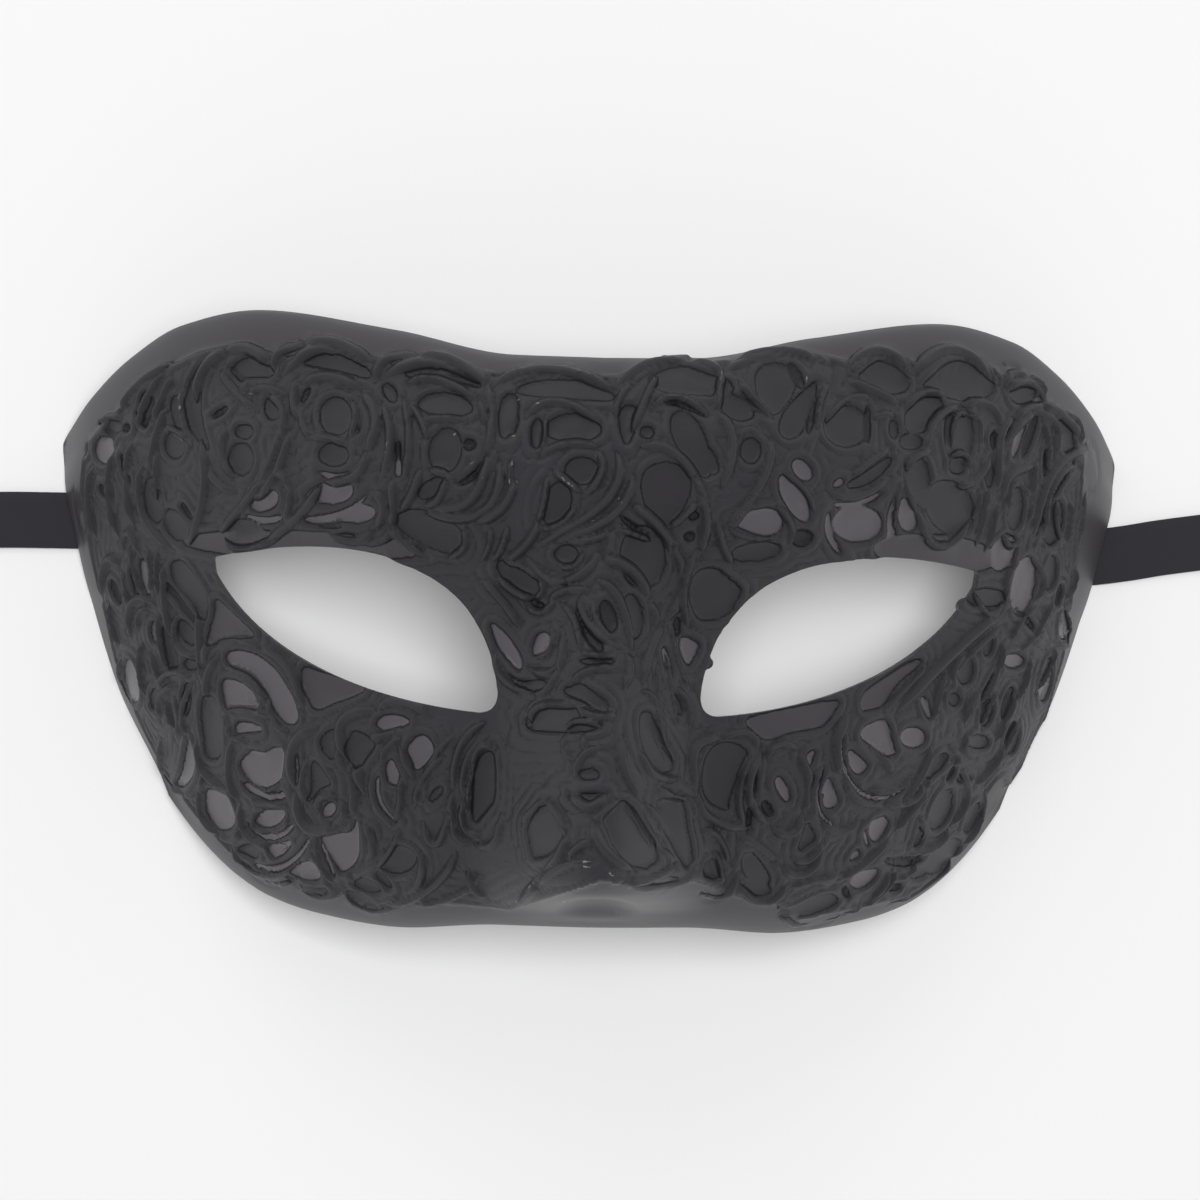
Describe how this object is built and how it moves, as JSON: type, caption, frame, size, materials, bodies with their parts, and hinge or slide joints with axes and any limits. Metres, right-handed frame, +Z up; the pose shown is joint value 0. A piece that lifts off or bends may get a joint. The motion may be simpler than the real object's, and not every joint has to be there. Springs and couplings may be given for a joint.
{
  "type": "masquerade mask",
  "caption": "Moulded half mask with a raised swirl relief, two open almond eye holes, a shaped nose, and a flat tie ribbon glued inside each temple.",
  "frame": {"origin": "middle of the mask's footprint, its bounding box without the ribbons, at the level of the table it lies on", "axes": "+Z up out of the face of the mask, +Y towards the brow, +X to the right as seen from above"},
  "size_m": [0.2958, 0.1002, 0.0778],
  "materials": {
    "moulding": "matte black moulded plastic, a little glossier in the recesses of the relief",
    "satin": "black satin ribbon"
  },
  "bodies": {
    "root": {"mask_shell": "moulding", "ribbon_left": "satin", "ribbon_right": "satin"}
  },
  "joints": []
}
